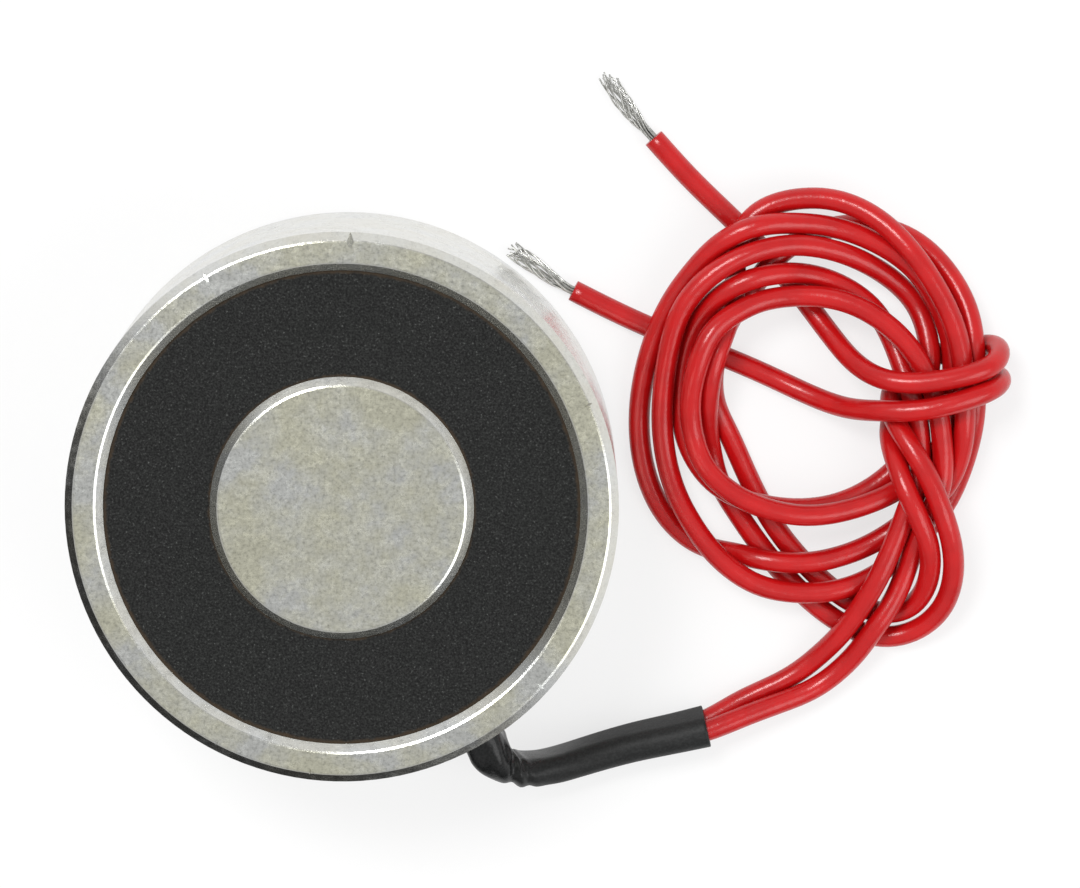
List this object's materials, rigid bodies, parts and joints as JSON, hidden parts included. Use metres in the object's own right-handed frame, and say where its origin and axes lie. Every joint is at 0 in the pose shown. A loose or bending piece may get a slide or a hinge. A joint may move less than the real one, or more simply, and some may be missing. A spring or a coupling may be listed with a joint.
{
  "type": "holding electromagnet",
  "caption": "Round pot-type holding electromagnet with a potted coil around a steel centre pole and flying leads leaving the side wall through a shrink sleeve.",
  "frame": {"origin": "centre of the back face, on the magnet's axis", "axes": "+Z along the magnet's axis from the back face to the holding face; the leads leave the side wall between +X and -Y and lie on the surface on the +X side"},
  "size_m": [0.1127, 0.0869, 0.03],
  "materials": {
    "plated_steel": "nickel plated, turned, stained",
    "former_nylon": "natural moulded nylon",
    "enamelled_copper": "enamelled copper wire",
    "polyester_tape": "yellow polyester tape",
    "black_resin": "matt, fine grained",
    "solder": "satin tin",
    "black_sleeve": "satin shrink sleeve",
    "red_pvc": "glossy insulation",
    "tinned_copper": "tinned copper strands"
  },
  "bodies": {
    "root": {"pot_housing": "plated_steel", "coil_former": "former_nylon", "coil_winding": "enamelled_copper", "winding_tape": "polyester_tape", "potting_resin": "black_resin", "winding_tail_start": "enamelled_copper", "winding_tail_finish": "enamelled_copper", "solder_joint_a": "solder", "solder_joint_b": "solder", "joint_sleeve_a": "black_sleeve", "joint_sleeve_b": "black_sleeve", "lead_sleeve": "black_sleeve", "lead_a_jacket": "red_pvc", "lead_b_jacket": "red_pvc", "lead_a_strands": "tinned_copper", "lead_b_strands": "tinned_copper"}
  },
  "joints": []
}
